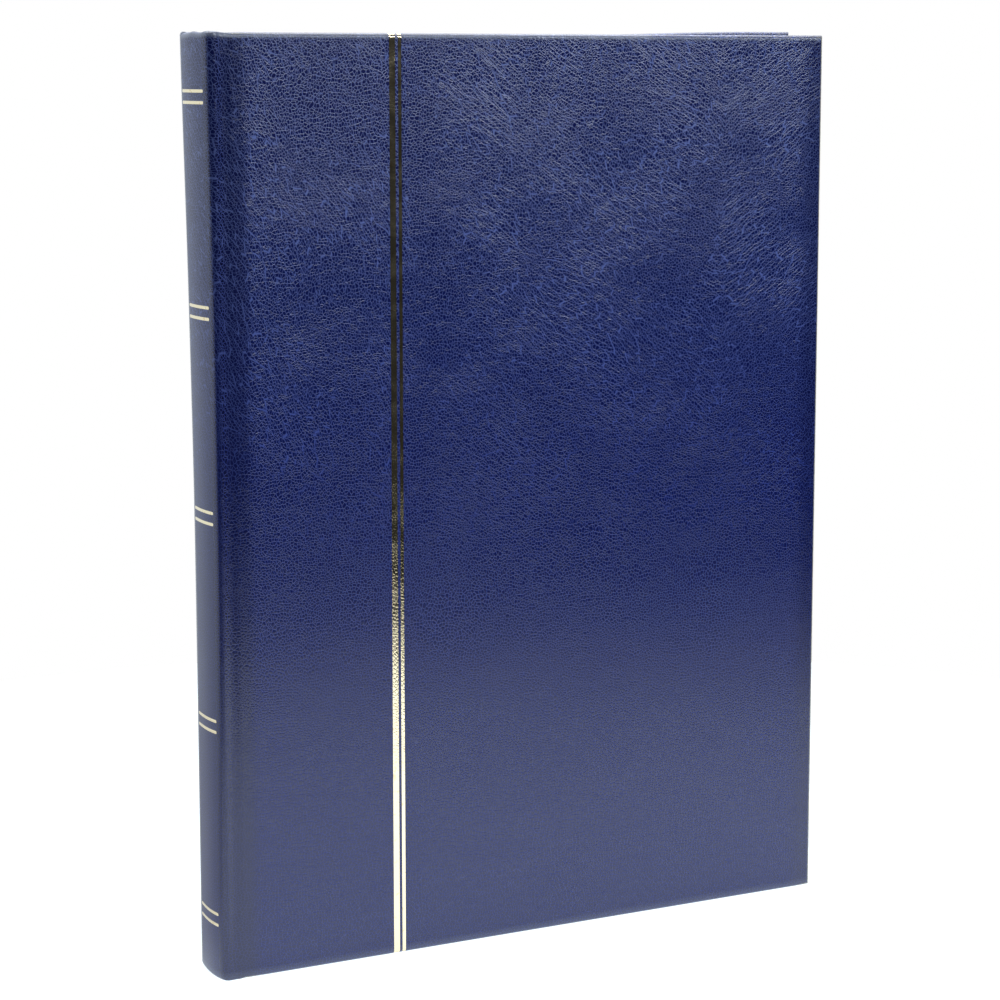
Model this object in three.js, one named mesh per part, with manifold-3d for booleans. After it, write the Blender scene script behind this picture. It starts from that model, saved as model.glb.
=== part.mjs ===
// An A4 stockbook for stamps: a case-bound album with leatherette covers, a lightly rounded
// spine, sixteen card leaves with clear pocket strips, and glassine sheets between them.
// Millimetres, +Z up. The closed album stands on its tail edge, its spine towards -X, its
// fore edge towards +X and its front cover towards -Y. The origin is under its middle.
import * as THREE from 'three';
import { mergeVertices } from 'three/addons/utils/BufferGeometryUtils.js';
import Module from 'manifold-3d';

const wasm = await Module();
wasm.setup();

// Whole album
const WIDTH = 232;
const HEIGHT = 305;
const THICKNESS = 23;
const RIGHT = WIDTH / 2;
const OUTER = THICKNESS / 2;

// Covers: a board in a leatherette skin that turns in over three of its edges
const LEATHER = 0.35;
const BOARD = 1.8;
const TURN_IN_LAYER = 0.25;
const TURN_IN_WIDTH = 14;
const PASTEDOWN = 0.1;
const PASTEDOWN_MARGIN = 4;
const COVER_LEFT = -108;

// Hot-foil stripes on the front cover, measured from the spine's crown
const FOIL = 0.05;
const WIDE_STRIPE = [62.8, 65.1];
const NARROW_STRIPE = [65.95, 67.2];

// Rounded spine: concentric bands about one vertical axis, drawn in equal angular steps
const SPINE_RADIUS = 48;
const SPINE_STEP = 0.0089;
const SPINE_STEPS = 20;
const INLAY = 1;
const INLAY_STEPS = 18;
const SPINE_GAP = 0.1;
const SPINE_TURN_IN = 12;
const LINE_STEPS = 19;
const LINE_WIDTH = 1;
const LINE_PAIR_PITCH = 3.6;
const LINE_PAIR_HEIGHTS = [285.1, 217.5, 152, 84.2, 20];

// Joint: the flexible strip between the spine and each cover
const JOINT_LEATHER = 0.3;
const JOINT_INNER_LEFT = [-114.1, 8.8];
const JOINT_FLOOR = [-112.2, 10];
const JOINT_INNER_RIGHT = [-108.3, 10.3];

// Text block
const LEAF_COUNT = 16;
const LEAF_PITCH = 1.1;
const CARD = 0.5;
const CARD_WIDTH = 210;
const CARD_HEIGHT = 297;
const CARD_RIGHT = 111;
const TAIL_SQUARE = (HEIGHT - CARD_HEIGHT) / 2;
const LINEN = 0.2;
const LINEN_LEFT = -108.4;
const LINEN_LAP = 3;
const STRIP_FILM = 0.15;
const STRIP_COUNT = 9;
const STRIP_HEIGHT = 29;
const STRIP_PITCH = 32;
const STRIP_MARGIN = 5;
const GLASSINE = 0.1;
const GLASSINE_LEFT = -104;
const FLYLEAF = 0.15;
const FLYLEAF_LEFT = -107.4;
const FLYLEAF_CENTRE = 8.875;
const MULL = 0.3;
const MULL_LEFT = -109.6;
const MULL_HALF_WIDTH = 9.7;
const MULL_INSET = 10;

const FINISHES = {
  navy_leatherette: { color: 0x27305c, roughness: 0.5, metalness: 0 },
  gold_foil: { color: 0xd9c58a, roughness: 0.2, metalness: 1 },
  greyboard: { color: 0x8d8a82, roughness: 0.9, metalness: 0 },
  endpaper: { color: 0x1c1c1f, roughness: 0.8, metalness: 0 },
  linen: { color: 0x232326, roughness: 0.95, metalness: 0 },
  leaf_card: { color: 0x151517, roughness: 0.7, metalness: 0 },
  glassine: { color: 0xe9e6d8, roughness: 0.45, metalness: 0 },
};

const materials = {};
for (const [name, finish] of Object.entries(FINISHES)) {
  materials[name] = new THREE.MeshStandardMaterial(finish);
}

const album = new THREE.Group();

function add(name, geometry, finish) {
  const mesh = new THREE.Mesh(geometry, materials[finish]);
  mesh.name = name;
  album.add(mesh);
}

// A box between two corners, with its faces exactly at the given coordinates.
function box(low, high) {
  const geometry = new THREE.BoxGeometry(1, 1, 1);
  const position = geometry.attributes.position;
  for (let i = 0; i < position.count; i++) {
    const corner = [position.getX(i), position.getY(i), position.getZ(i)];
    position.setXYZ(i, ...corner.map((side, axis) => (side > 0 ? high[axis] : low[axis])));
  }
  geometry.computeVertexNormals();
  return geometry;
}

function toSolid(geometry) {
  const bare = geometry.clone();
  bare.deleteAttribute('normal');
  bare.deleteAttribute('uv');
  const merged = mergeVertices(bare);
  const vertProperties = new Float32Array(merged.attributes.position.array);
  const triVerts = new Uint32Array(merged.index.array);
  return new wasm.Manifold(new wasm.Mesh({ numProp: 3, vertProperties, triVerts }));
}

function toGeometry(solid) {
  const mesh = solid.getMesh();
  const geometry = new THREE.BufferGeometry();
  geometry.setAttribute('position', new THREE.BufferAttribute(mesh.vertProperties, 3));
  geometry.setIndex(new THREE.BufferAttribute(mesh.triVerts, 1));
  geometry.computeVertexNormals();
  return geometry;
}

function cut(geometry, ...cutters) {
  return toGeometry(cutters.reduce((solid, cutter) => solid.subtract(toSolid(cutter)), toSolid(geometry)));
}

function join(...geometries) {
  return toGeometry(geometries.map(toSolid).reduce((whole, piece) => whole.add(piece)));
}

// A box given by its distances from the album's mid-plane: side -1 is the front, 1 the back.
function sideBox(side, x, depth, z) {
  const y = [side * depth[0], side * depth[1]].sort((a, b) => a - b);
  return box([x[0], y[0], z[0]], [x[1], y[1], z[1]]);
}

function prism(points, z) {
  const shape = new THREE.Shape(points.map(([x, y]) => new THREE.Vector2(x, y)));
  const geometry = new THREE.ExtrudeGeometry(shape, { depth: z[1] - z[0], bevelEnabled: false });
  geometry.translate(0, 0, z[0]);
  return geometry;
}

// ---- covers ----

const BOARD_OUTER = OUTER - LEATHER;
const BOARD_INNER = BOARD_OUTER - BOARD;
const TURN_IN_INNER = BOARD_INNER - TURN_IN_LAYER;
const PASTEDOWN_INNER = TURN_IN_INNER - PASTEDOWN;
const FULL_HEIGHT = [0, HEIGHT];
const BOARD_X = [COVER_LEFT + LEATHER, RIGHT - LEATHER];
const BOARD_Z = [LEATHER, HEIGHT - LEATHER];
const WINDOW_X = [COVER_LEFT + LEATHER, RIGHT - TURN_IN_WIDTH];
const WINDOW_Z = [TURN_IN_WIDTH, HEIGHT - TURN_IN_WIDTH];

function stripeX([from, to]) {
  return [-RIGHT + from, -RIGHT + to];
}

// The stripe's own place in the skin: over the face and round the head and tail edges.
function stripe(x) {
  const whole = sideBox(-1, x, [TURN_IN_INNER, OUTER], FULL_HEIGHT);
  return cut(whole, sideBox(-1, x, [TURN_IN_INNER, OUTER - FOIL], [FOIL, HEIGHT - FOIL]));
}

function coverLeather(side, stripes) {
  const outside = sideBox(side, [COVER_LEFT, RIGHT], [TURN_IN_INNER, OUTER], FULL_HEIGHT);
  const pocket = sideBox(side, BOARD_X, [BOARD_INNER, BOARD_OUTER], BOARD_Z);
  const window = sideBox(side, WINDOW_X, [TURN_IN_INNER, BOARD_INNER], WINDOW_Z);
  return cut(outside, join(pocket, window), ...stripes);
}

function pastedown(side) {
  const plug = sideBox(side, WINDOW_X, [PASTEDOWN_INNER, BOARD_INNER], WINDOW_Z);
  const sheetX = [WINDOW_X[0], RIGHT - PASTEDOWN_MARGIN];
  const sheetZ = [PASTEDOWN_MARGIN, HEIGHT - PASTEDOWN_MARGIN];
  return join(plug, sideBox(side, sheetX, [PASTEDOWN_INNER, TURN_IN_INNER], sheetZ));
}

function addCover(name, side, stripes) {
  add(`${name}_board`, sideBox(side, BOARD_X, [BOARD_INNER, BOARD_OUTER], BOARD_Z), 'greyboard');
  add(`${name}_leather`, coverLeather(side, stripes), 'navy_leatherette');
  add(`${name}_pastedown`, pastedown(side), 'endpaper');
}

const wideStripe = stripe(stripeX(WIDE_STRIPE));
const narrowStripe = stripe(stripeX(NARROW_STRIPE));
addCover('front', -1, [wideStripe, narrowStripe]);
addCover('back', 1, []);
add('wide_foil_stripe', wideStripe, 'gold_foil');
add('narrow_foil_stripe', narrowStripe, 'gold_foil');

// ---- spine ----

const SPINE_AXIS_X = -RIGHT + SPINE_RADIUS;
const SKIN_RADIUS = SPINE_RADIUS - FOIL;
const INLAY_OUTER_RADIUS = SKIN_RADIUS - LEATHER - SPINE_GAP;
const INLAY_INNER_RADIUS = INLAY_OUTER_RADIUS - INLAY;
const SKIN_INNER_RADIUS = INLAY_INNER_RADIUS - SPINE_GAP - LEATHER;

function spinePoint(radius, step) {
  const angle = step * SPINE_STEP;
  return [SPINE_AXIS_X - radius * Math.cos(angle), radius * Math.sin(angle)];
}

// A curved band that reaches the same number of steps to the front and to the back.
function spineBand(innerRadius, outerRadius, steps, z) {
  const points = [];
  for (let step = -steps; step <= steps; step++) {
    points.push(spinePoint(innerRadius, step));
  }
  for (let step = steps; step >= -steps; step--) {
    points.push(spinePoint(outerRadius, step));
  }
  return prism(points, z);
}

function spineLeather() {
  const outside = spineBand(SKIN_INNER_RADIUS, SKIN_RADIUS, SPINE_STEPS, FULL_HEIGHT);
  const pocketSteps = INLAY_STEPS + 0.5;
  const pocketInner = INLAY_INNER_RADIUS - SPINE_GAP;
  const pocketOuter = INLAY_OUTER_RADIUS + SPINE_GAP;
  const pocket = spineBand(pocketInner, pocketOuter, pocketSteps, BOARD_Z);
  const windowZ = [SPINE_TURN_IN, HEIGHT - SPINE_TURN_IN];
  const window = spineBand(SKIN_INNER_RADIUS - 1, pocketInner + SPINE_GAP, pocketSteps, windowZ);
  return cut(outside, pocket, window);
}

add('spine_leather', spineLeather(), 'navy_leatherette');
const INLAY_Z = [LEATHER + SPINE_GAP, HEIGHT - LEATHER - SPINE_GAP];
add('spine_inlay', spineBand(INLAY_INNER_RADIUS, INLAY_OUTER_RADIUS, INLAY_STEPS, INLAY_Z), 'greyboard');

LINE_PAIR_HEIGHTS.forEach((height, pair) => {
  for (const [edge, offset] of [['upper', LINE_PAIR_PITCH / 2], ['lower', -LINE_PAIR_PITCH / 2]]) {
    const z = [height + offset - LINE_WIDTH / 2, height + offset + LINE_WIDTH / 2];
    const line = spineBand(SKIN_RADIUS, SPINE_RADIUS, LINE_STEPS, z);
    add(`spine_line_${pair + 1}_${edge}`, line, 'gold_foil');
  }
});

// ---- joints between the spine and the covers ----

function jointLeather(side) {
  const inner = [JOINT_INNER_LEFT, JOINT_FLOOR, JOINT_INNER_RIGHT];
  const outer = inner.map(([x, depth]) => [x, depth + JOINT_LEATHER]).reverse();
  const outline = [...inner, ...outer].map(([x, depth]) => [x, side * depth]);
  return prism(side > 0 ? outline.reverse() : outline, FULL_HEIGHT);
}

add('front_joint_leather', jointLeather(-1), 'navy_leatherette');
add('back_joint_leather', jointLeather(1), 'navy_leatherette');

// ---- text block ----

const CARD_LEFT = CARD_RIGHT - CARD_WIDTH;
const CARD_Z = [TAIL_SQUARE, TAIL_SQUARE + CARD_HEIGHT];

// A sheet of the given thickness centred on the plane y, at the leaves' height.
function sheet(x, y, thickness, z = CARD_Z) {
  return box([x[0], y - thickness / 2, z[0]], [x[1], y + thickness / 2, z[1]]);
}

// A card with its linen hinge, and a clear strip over each row of pockets on both faces.
function leaf(y) {
  const pieces = [sheet([CARD_LEFT, CARD_RIGHT], y, CARD)];
  pieces.push(sheet([LINEN_LEFT, CARD_LEFT + LINEN_LAP], y, LINEN));
  const stripX = [CARD_LEFT + STRIP_MARGIN, CARD_RIGHT - STRIP_MARGIN];
  for (let row = 0; row < STRIP_COUNT; row++) {
    const bottom = CARD_Z[0] + STRIP_MARGIN + row * STRIP_PITCH;
    pieces.push(sheet(stripX, y, CARD + 2 * STRIP_FILM, [bottom, bottom + STRIP_HEIGHT]));
  }
  return join(...pieces);
}

for (let i = 1; i <= LEAF_COUNT; i++) {
  const y = (i - (LEAF_COUNT + 1) / 2) * LEAF_PITCH;
  const number = String(i).padStart(2, '0');
  add(`leaf_${number}`, leaf(y), 'leaf_card');
  if (i < LEAF_COUNT) {
    add(`glassine_${number}`, sheet([GLASSINE_LEFT, CARD_RIGHT], y + LEAF_PITCH / 2, GLASSINE), 'glassine');
  }
}

add('front_flyleaf', sheet([FLYLEAF_LEFT, CARD_RIGHT], -FLYLEAF_CENTRE, FLYLEAF), 'endpaper');
add('back_flyleaf', sheet([FLYLEAF_LEFT, CARD_RIGHT], FLYLEAF_CENTRE, FLYLEAF), 'endpaper');

const MULL_Z = [MULL_INSET, HEIGHT - MULL_INSET];
const mull = box(
  [MULL_LEFT, -MULL_HALF_WIDTH, MULL_Z[0]],
  [MULL_LEFT + MULL, MULL_HALF_WIDTH, MULL_Z[1]],
);
add('block_mull', mull, 'linen');

export default album;
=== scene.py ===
"""Looks for an A4 stockbook: leatherette case, foil stripes, endpapers and card leaves.

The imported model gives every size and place. The album stands on its tail edge, its spine
towards -X and its front cover towards -Y. Lengths are metres.
"""
import math

import bpy
import numpy as np
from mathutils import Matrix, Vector, noise


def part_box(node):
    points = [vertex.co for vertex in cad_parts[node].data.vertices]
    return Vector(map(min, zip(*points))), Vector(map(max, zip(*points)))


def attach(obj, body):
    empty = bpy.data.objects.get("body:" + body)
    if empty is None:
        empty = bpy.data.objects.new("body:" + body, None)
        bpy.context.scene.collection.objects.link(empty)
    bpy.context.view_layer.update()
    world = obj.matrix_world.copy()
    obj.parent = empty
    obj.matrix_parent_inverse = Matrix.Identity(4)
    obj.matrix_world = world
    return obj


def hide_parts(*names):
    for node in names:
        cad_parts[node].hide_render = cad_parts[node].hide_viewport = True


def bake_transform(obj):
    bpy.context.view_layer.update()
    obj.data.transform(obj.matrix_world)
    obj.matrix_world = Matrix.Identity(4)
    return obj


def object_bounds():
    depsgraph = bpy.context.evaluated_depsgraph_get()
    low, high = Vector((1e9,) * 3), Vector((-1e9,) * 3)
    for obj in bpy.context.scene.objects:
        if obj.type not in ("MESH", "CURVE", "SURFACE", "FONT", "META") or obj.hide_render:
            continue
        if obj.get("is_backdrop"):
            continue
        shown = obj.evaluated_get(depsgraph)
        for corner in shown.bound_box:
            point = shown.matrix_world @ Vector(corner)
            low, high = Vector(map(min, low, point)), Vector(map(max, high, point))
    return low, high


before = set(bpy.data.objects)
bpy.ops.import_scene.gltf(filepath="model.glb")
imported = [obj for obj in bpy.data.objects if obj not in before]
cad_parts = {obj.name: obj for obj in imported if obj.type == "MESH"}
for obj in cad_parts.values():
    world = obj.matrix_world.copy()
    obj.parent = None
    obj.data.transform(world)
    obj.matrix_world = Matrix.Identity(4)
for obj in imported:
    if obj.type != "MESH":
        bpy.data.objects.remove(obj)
cad_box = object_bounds()

MM = 0.001
LEAVES = 16
FRONT, BACK = -1, 1

# ---- sizes taken from the frame ----

RIGHT, OUTER, HEIGHT = cad_box[1]
cover_low, cover_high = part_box("back_leather")
spine_low, spine_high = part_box("spine_leather")
leaf_low, leaf_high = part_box("leaf_01")

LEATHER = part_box("back_board")[0].z
# The case's whole thickness over the boards, the spine and the joints.
COVER_THICKNESS = cover_high.y - cover_low.y
SPINE_THICKNESS = 1.9 * MM
JOINT_THICKNESS = 0.9 * MM
SPINE_CARD = 1.0 * MM
SPINE_CROWN = spine_low.x
SPINE_HALF = spine_high.y
SPINE_BULGE = 0.757 * MM
SPINE_RADIUS = (SPINE_HALF ** 2 + SPINE_BULGE ** 2) / (2 * SPINE_BULGE)
SPINE_AXIS = SPINE_CROWN + SPINE_RADIUS
SPINE_END_ANGLE = math.asin(SPINE_HALF / SPINE_RADIUS)
SEAM_ANGLE = SPINE_END_ANGLE * 0.93
TURN_IN = 14 * MM


def ease(t):
    """0 below 0, 1 above 1, and smooth between."""
    t = np.clip(t, 0, 1)
    return t * t * (3 - 2 * t)


def ramp(x, start, width):
    """0 up to start, 1 from start + width on, and smooth between."""
    return ease((x - start) / width)


def bump(x, centre, half_width):
    """1 at the centre, 0 from half_width away."""
    return 1 - ease(np.abs(x - centre) / half_width)


def smooth_noise(u, z, per_metre, seed):
    """Smooth noise between about -1 and 1 over the flat material."""
    return np.array([noise.noise((a * per_metre, b * per_metre, seed)) for a, b in zip(u, z)])


# ---- mesh helpers ----

def make_piece(name, points, faces, material, sheet=None, wear_and_highlight=None, taut_and_shade=None):
    """A mesh object. sheet holds each point's place on the flat material, for its grain."""
    mesh = bpy.data.meshes.new(name)
    mesh.from_pydata([tuple(p) for p in points], [], faces)
    mesh.shade_smooth()
    mesh.set_sharp_from_angle(angle=math.radians(50))
    if sheet is not None:
        layer = mesh.attributes.new("sheet", "FLOAT_VECTOR", "POINT")
        layer.data.foreach_set("vector", np.asarray(sheet, np.float32).ravel())
    for label, values in (("wear_and_highlight", wear_and_highlight), ("taut_and_shade", taut_and_shade)):
        if values is not None:
            layer = mesh.attributes.new(label, "FLOAT", "POINT")
            layer.data.foreach_set("value", np.asarray(values, np.float32))
    piece = bpy.data.objects.new(name, mesh)
    bpy.context.scene.collection.objects.link(piece)
    mesh.materials.append(material)
    return piece


def point_normals(points, faces):
    """Unit normals of the points of a quad mesh, weighted by area."""
    quads = np.asarray(faces)
    across = points[quads[:, 2]] - points[quads[:, 0]]
    along = points[quads[:, 3]] - points[quads[:, 1]]
    area = np.cross(across, along)
    normals = np.zeros_like(points)
    for corner in range(4):
        np.add.at(normals, quads[:, corner], area)
    return normals / np.linalg.norm(normals, axis=1, keepdims=True)


def thicken(points, faces, thickness):
    """Closes a sheet of outward-facing quads into a thin solid that lies behind it."""
    points = np.asarray(points, float)
    count = len(points)
    inner = points - point_normals(points, faces) * thickness
    directed = {(f[i], f[(i + 1) % 4]) for f in faces for i in range(4)}
    rim = sorted(edge for edge in directed if (edge[1], edge[0]) not in directed)
    closed = list(faces)
    closed += [tuple(count + v for v in reversed(f)) for f in faces]
    closed += [(b, a, count + a, count + b) for a, b in rim]
    return np.vstack([points, inner]), closed


def grid_faces(index):
    """Quads over a 2-D array of point numbers, facing out where columns run left to right."""
    faces = []
    for row in range(index.shape[0] - 1):
        for column in range(index.shape[1] - 1):
            lower = index[row, column], index[row, column + 1]
            upper = index[row + 1, column + 1], index[row + 1, column]
            faces.append((int(lower[0]), int(lower[1]), int(upper[0]), int(upper[1])))
    return faces


def flip(faces):
    """The same faces, facing the other way."""
    return [tuple(reversed(f)) for f in faces]


def sheet_piece(name, points, faces, thickness, material, sheet, wear_and_highlight=None, taut_and_shade=None):
    """A thin closed piece whose outer face is the given sheet."""
    solid, closed = thicken(points, faces, thickness)
    twice = np.vstack([sheet, sheet])
    wear_and_highlight, taut_and_shade = (None if v is None else np.concatenate([v, v]) for v in (wear_and_highlight, taut_and_shade))
    return make_piece(name, solid, closed, material, twice, wear_and_highlight, taut_and_shade)


# ---- material helpers ----

class Shader:
    """A node material. Each call returns an output of the node that it adds.

    Its noise is flat, over the sheet, unless the material is solid.
    """

    def __init__(self, name, solid=False, **principled):
        self.solid = solid
        self.material = bpy.data.materials.new(name)
        self.material.use_nodes = True
        self.tree = self.material.node_tree
        self.surface = self.tree.nodes["Principled BSDF"]
        for key, value in principled.items():
            self.put(self.surface.inputs[key.replace("_", " ")], value)

    def put(self, socket, value):
        """Links a socket to another one, or sets its value."""
        if isinstance(value, bpy.types.NodeSocket):
            self.tree.links.new(value, socket)
        else:
            socket.default_value = value

    def node(self, kind, output=0, settings=None, **inputs):
        """Adds a node with these settings, its inputs given by name."""
        made = self.tree.nodes.new("ShaderNode" + kind)
        for key, value in (settings or {}).items():
            setattr(made, key, value)
        for key, value in inputs.items():
            self.put(made.inputs[key.replace("_", " ")], value)
        return made.outputs[output]

    def math(self, operation, *values):
        made = self.tree.nodes.new("ShaderNodeMath")
        made.operation = operation
        for socket, value in zip(made.inputs, values):
            self.put(socket, value)
        return made.outputs[0]

    def vector(self, operation, *values):
        made = self.tree.nodes.new("ShaderNodeVectorMath")
        made.operation = operation
        for socket, value in zip(made.inputs, values):
            self.put(socket, value)
        return made.outputs[0]

    def scaled(self, vector, factor):
        made = self.tree.nodes.new("ShaderNodeVectorMath")
        made.operation = "SCALE"
        self.put(made.inputs[0], vector)
        made.inputs["Scale"].default_value = factor
        return made.outputs[0]

    def split(self, vector):
        """The x, y and z sockets of a vector."""
        made = self.tree.nodes.new("ShaderNodeSeparateXYZ")
        self.put(made.inputs[0], vector)
        return made.outputs

    def jitter(self, flat, scale, detail, reach):
        """A random shift over the sheet, up to half of reach each way."""
        cloud = self.noise(flat, scale, detail, "Color")
        return self.scaled(self.vector("SUBTRACT", cloud, (0.5, 0.5, 0.5)), reach)

    def cell_edges(self, place, scale):
        """Distance to the nearest edge of a net of random cells."""
        return self.node("TexVoronoi", "Distance", Vector=place, Scale=scale,
                         settings={"feature": "DISTANCE_TO_EDGE", "voronoi_dimensions": "2D"})

    def mapped(self, value, low, high, out_low=0.0, out_high=1.0):
        """Smoothly from out_low, where value is low, to out_high, where it is high."""
        return self.node("MapRange", settings={"interpolation_type": "SMOOTHSTEP"}, Value=value,
                         From_Min=low, From_Max=high, To_Min=out_low, To_Max=out_high)

    def slope(self, value, width):
        """1 at 0, falling evenly to 0 at width."""
        return self.node("MapRange", Value=value, From_Min=0.0, From_Max=width, To_Min=1.0, To_Max=0.0)

    def mix(self, factor, a, b):
        made = self.tree.nodes.new("ShaderNodeMix")
        made.data_type = "RGBA"
        self.put(made.inputs["Factor"], factor)
        self.put(made.inputs[6], a)
        self.put(made.inputs[7], b)
        return made.outputs[2]

    def attribute(self, name, output="Vector"):
        made = self.tree.nodes.new("ShaderNodeAttribute")
        made.attribute_name = name
        return made.outputs[output]

    def turned(self, vector, degrees, stretch):
        """Turns the pattern that follows, and stretches it along its own x and y."""
        return self.node("Mapping", Vector=vector, Rotation=(0, 0, math.radians(degrees)),
                         Scale=(*stretch, 1), settings={"vector_type": "TEXTURE"})

    def noise(self, vector, scale, detail=3.0, output="Fac"):
        return self.node("TexNoise", output, Vector=vector, Scale=scale, Detail=detail,
                         settings={"noise_dimensions": "3D" if self.solid else "2D"})

    def bump(self, height, distance, strength=1.0):
        return self.node("Bump", Height=height, Distance=distance, Strength=strength)

    def finish(self, **principled):
        for key, value in principled.items():
            self.put(self.surface.inputs[key.replace("_", " ")], value)
        return self.material


# ---- leatherette ----

NAVY_LOW = (0.0035, 0.0070, 0.072, 1.0)
# Groove colour: partly the grain's own tone, partly a painted glint.
NAVY_GROOVE_AND_GLINT = (0.027, 0.048, 0.265, 1.0)
# Painted shade for the joint's groove and the fore edge.
NAVY_PAINTED_SHADE = (0.00105, 0.0021, 0.0216, 1.0)
# Painted glint: the grooves' colour near the head.
PAINTED_HEAD_GLINT = (0.115, 0.160, 0.42, 1.0)
# Paler edge colour: wear, and along the head a painted highlight.
WORN_EDGE_AND_HIGHLIGHT = (0.26, 0.29, 0.35, 1.0)
PEBBLES_PER_METRE = 980.0
CREASES_PER_METRE = 700.0
CREASE_FOLD = 200 * MM


def creases(shader, flat, place, across, up):
    """Long creases, 1 along each: steep near the spine, flatter over the cover.

    They turn back at CREASE_FOLD from the spine's middle, show in patches, and fade downwards.
    """
    drift = shader.math("MULTIPLY_ADD", shader.noise(flat, 12.0, 2.0), 80 * MM, -40 * MM)
    from_spine = shader.math("ADD", shader.math("ABSOLUTE", across), drift)
    over_cover = shader.mapped(from_spine, 62 * MM, 105 * MM)
    moved = shader.split(place)
    past_fold = shader.math("ABSOLUTE", shader.math("SUBTRACT", moved[0], CREASE_FOLD))
    folded = shader.node("CombineXYZ", X=shader.math("SUBTRACT", CREASE_FOLD, past_fold), Y=moved[1])
    steep = shader.cell_edges(shader.turned(place, -60.0, (7.0, 1.0)), CREASES_PER_METRE)
    slant = shader.cell_edges(shader.turned(folded, -36.0, (6.0, 1.0)), CREASES_PER_METRE)
    near_spine = shader.math("SUBTRACT", 1.0, over_cover)
    steep = shader.math("MULTIPLY", shader.slope(steep, 0.10), near_spine)
    slant = shader.math("MULTIPLY", shader.slope(slant, 0.10), over_cover)
    patches = shader.mapped(shader.noise(flat, 30.0, 3.0), 0.34, 0.62, 0.7, 1.0)
    shown = shader.math("MULTIPLY", patches, shader.mapped(up, 60 * MM, 210 * MM, 0.25, 1.0))
    return shader.math("MULTIPLY", shader.math("ADD", steep, slant), shown)


def leatherette(name, relief, roughness):
    """Navy leatherette: flat pebbles in a net of narrow grooves, and long creases.

    The grooves are painted lighter than the pebbles, partly the grain's own tone and partly a painted
    glint, and lighter still towards the head as a painted glint.
    Where the taut-and-shade mask is high the grain is shallower and the colour darker, a painted shade;
    at the edges the colour is paler, partly wear and, along the head, a painted highlight.
    """
    shader = Shader(name)
    flat = shader.attribute("sheet")
    across, up = shader.split(flat)[:2]
    wander = shader.jitter(flat, 20.0, 2.0, 9 * MM)
    ripple = shader.jitter(flat, 330.0, 1.0, 0.9 * MM)
    place = shader.vector("ADD", shader.vector("ADD", flat, wander), ripple)
    taut_and_shade = shader.attribute("taut_and_shade", "Fac")
    worn_and_lit = shader.attribute("wear_and_highlight", "Fac")

    edge = shader.cell_edges(place, PEBBLES_PER_METRE)
    dome = shader.mapped(edge, 0.1, 0.55)
    crease = creases(shader, flat, place, across, up)
    lines = shader.math("MAXIMUM", shader.slope(edge, 0.13), crease)
    depth = shader.math("MULTIPLY_ADD", taut_and_shade, 0.45, -1.0)
    height = shader.math("MULTIPLY_ADD", lines, depth, shader.math("MULTIPLY", dome, 0.35))
    height = shader.math("MULTIPLY_ADD", crease, -0.35, height)
    height = shader.math("ADD", shader.noise(flat, 120.0, 2.0), height)

    # The grooves' colour brightens towards the head: a painted glint.
    groove_and_glint_tint = shader.mix(shader.mapped(up, 120 * MM, 290 * MM), NAVY_GROOVE_AND_GLINT, PAINTED_HEAD_GLINT)
    tint = shader.mix(shader.mapped(lines, 0.3, 0.9), NAVY_LOW, groove_and_glint_tint)
    # Darker where the mask is high: painted shade in the joint's groove and by the fore edge.
    tint = shader.mix(shader.math("MULTIPLY", taut_and_shade, 0.4), tint, NAVY_PAINTED_SHADE)
    # Paler at the edges: wear, and along the head a painted highlight.
    tint = shader.mix(shader.math("MULTIPLY", worn_and_lit, 0.5), tint, WORN_EDGE_AND_HIGHLIGHT)
    cloud = shader.noise(flat, 18.0, 3.0)
    patch = shader.mapped(cloud, 0.3, 0.7, roughness - 0.015, roughness + 0.015)
    rough = shader.math("MULTIPLY_ADD", worn_and_lit, -0.04, patch)
    return shader.finish(Base_Color=tint, Roughness=rough, IOR=1.6,
                         Normal=shader.bump(height, relief))


cover_leather = leatherette("cover_leatherette", 0.028 * MM, 0.19)
spine_leather = leatherette("spine_leatherette", 0.005 * MM, 0.36)


def foil(name, relief):
    """Hot-stamped pale gold foil that keeps a little of the grain under it."""
    shader = Shader(name, Metallic=1.0)
    flat = shader.attribute("sheet")
    grain = shader.mapped(shader.cell_edges(shader.turned(flat, -58.0, (1.5, 1.0)), 1150.0), 0.0, 0.3)
    speckle = shader.noise(flat, 2600.0, 2.0)
    height = shader.math("ADD", grain, shader.math("MULTIPLY", speckle, 0.4))
    thin = shader.mapped(shader.noise(flat, 420.0, 3.0), 0.62, 0.75)
    tint = shader.mix(thin, (0.93, 0.80, 0.55, 1.0), (0.80, 0.61, 0.36, 1.0))
    rough = shader.mapped(shader.noise(flat, 150.0), 0.3, 0.7, 0.10, 0.17)
    return shader.finish(Base_Color=tint, Roughness=rough, Normal=shader.bump(height, relief))


stripe_foil = foil("stripe_foil", 0.014 * MM)
line_foil = foil("line_foil", 0.004 * MM)


def flat_paper(name, dark, light, roughness):
    """Paper whose grain follows the sheet, so that it may bend."""
    shader = Shader(name)
    flat = shader.attribute("sheet")
    fibre = shader.noise(shader.turned(flat, 20.0, (3.0, 1.0)), 3000.0, 6.0)
    mottle = shader.noise(flat, 60.0, 2.0)
    blend = shader.math("ADD", shader.math("MULTIPLY", fibre, 0.6),
                        shader.math("MULTIPLY", mottle, 0.4))
    tint = shader.mix(shader.mapped(blend, 0.3, 0.7), dark, light)
    rough = shader.mapped(fibre, 0.3, 0.7, roughness - 0.05, roughness + 0.05)
    return shader.finish(Base_Color=tint, Roughness=rough, Normal=shader.bump(fibre, 0.02 * MM))


endpaper = flat_paper("endpaper", (0.028, 0.028, 0.031, 1), (0.052, 0.052, 0.056, 1), 0.78)
leaf_card = flat_paper("leaf_card", (0.009, 0.009, 0.010, 1), (0.018, 0.018, 0.019, 1), 0.62)


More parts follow.
